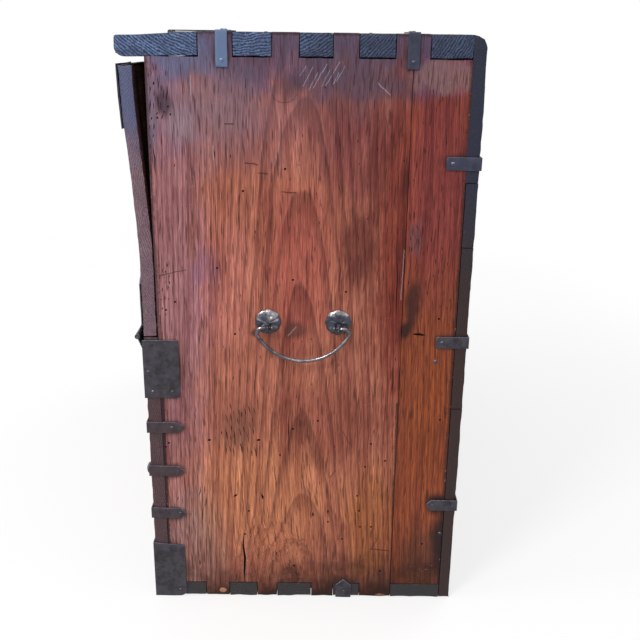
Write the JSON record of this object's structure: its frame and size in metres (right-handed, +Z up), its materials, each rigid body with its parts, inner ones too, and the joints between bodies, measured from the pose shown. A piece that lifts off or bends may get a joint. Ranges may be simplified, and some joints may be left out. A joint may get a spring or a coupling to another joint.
{
  "type": "korean blanket chest",
  "caption": "Plank chest with finger-jointed corners, a drop-front door on iron hinges, nailed iron straps and corner plates, a hasp and staple, and hanging bail handles.",
  "frame": {"origin": "on the floor, in the middle of the width and of the depth over the front and back boards", "axes": "+X to the right along the front, +Y from the front to the back, +Z up; the front faces -Y"},
  "size_m": [0.9336, 0.4498, 0.7628],
  "materials": {
    "side_wood": "old reddish-brown lacquer",
    "top_wood": "dark worn lacquer",
    "front_wood": "dark worn lacquer",
    "back_wood": "thin dark stain",
    "dark_iron": "blackened sheet iron",
    "worn_iron": "forged iron worn bright"
  },
  "bodies": {
    "case": {"top_board": "top_wood", "bottom_board": "back_wood", "right_side_front_plank": "side_wood", "right_side_back_plank": "side_wood", "left_side_front_plank": "side_wood", "left_side_back_plank": "side_wood", "lower_front_board": "front_wood", "back_plank_1": "back_wood", "back_plank_2": "back_wood", "back_plank_3": "back_wood", "back_plank_4": "back_wood", "right_hinge_lower_leaf": "dark_iron", "right_hinge_pin": "worn_iron", "left_hinge_lower_leaf": "dark_iron", "left_hinge_pin": "worn_iron", "middle_hinge_lower_leaf": "dark_iron", "middle_hinge_pin": "worn_iron", "right_strap_low": "dark_iron", "right_strap_mid": "dark_iron", "right_strap_high": "dark_iron", "right_corner_plate": "dark_iron", "left_strap_low": "dark_iron", "left_strap_mid": "dark_iron", "left_strap_high": "dark_iron", "left_corner_plate": "dark_iron", "right_back_strap_low": "dark_iron", "right_back_strap_mid": "dark_iron", "right_back_strap_high": "dark_iron", "left_back_strap_low": "dark_iron", "left_back_strap_mid": "dark_iron", "left_back_strap_high": "dark_iron", "right_top_straps": "dark_iron", "left_top_straps": "dark_iron", "bottom_straps": "dark_iron", "right_rosettes": "dark_iron", "right_eyes": "worn_iron", "left_rosettes": "dark_iron", "left_eyes": "worn_iron", "hasp_mount": "dark_iron", "hasp_pin": "worn_iron", "case_nails": "dark_iron"},
    "door": {"door_panel": "front_wood", "right_hinge_upper_leaf": "dark_iron", "left_hinge_upper_leaf": "dark_iron", "middle_hinge_upper_leaf": "dark_iron", "door_corner_right": "dark_iron", "door_corner_left": "dark_iron", "lock_plate": "dark_iron", "lock_staple": "worn_iron", "pull_rosettes": "dark_iron", "pull_eyes": "worn_iron", "door_nails": "dark_iron"},
    "hasp_arm": {"hasp": "worn_iron"},
    "right_handle": {"right_bail": "worn_iron"},
    "left_handle": {"left_bail": "worn_iron"},
    "right_pull_handle": {"right_pull": "worn_iron"},
    "left_pull_handle": {"left_pull": "worn_iron"}
  },
  "joints": [
    {"name": "door_hinge", "type": "hinge", "parent": "case", "child": "door", "pos_m": [0, -0.2147, 0.389], "axis": [1, 0, 0], "range_deg": [0, 170]},
    {"name": "hasp_hinge", "type": "hinge", "parent": "case", "child": "hasp_arm", "pos_m": [0, -0.229, 0.7589], "axis": [1, 0, 0], "range_deg": [0, 270]},
    {"name": "right_handle_swing", "type": "hinge", "parent": "case", "child": "right_handle", "pos_m": [0.4615, -0.003, 0.4066], "axis": [0, -1, 0], "range_deg": [-9, 189]},
    {"name": "left_handle_swing", "type": "hinge", "parent": "case", "child": "left_handle", "pos_m": [-0.4615, -0.003, 0.4066], "axis": [0, 1, 0], "range_deg": [-9, 189]},
    {"name": "right_pull_swing", "type": "hinge", "parent": "door", "child": "right_pull_handle", "pos_m": [0.138, -0.2184, 0.644], "axis": [-1, 0, 0], "range_deg": [-9, 189]},
    {"name": "left_pull_swing", "type": "hinge", "parent": "door", "child": "left_pull_handle", "pos_m": [-0.138, -0.2184, 0.644], "axis": [-1, 0, 0], "range_deg": [-9, 189]}
  ]
}
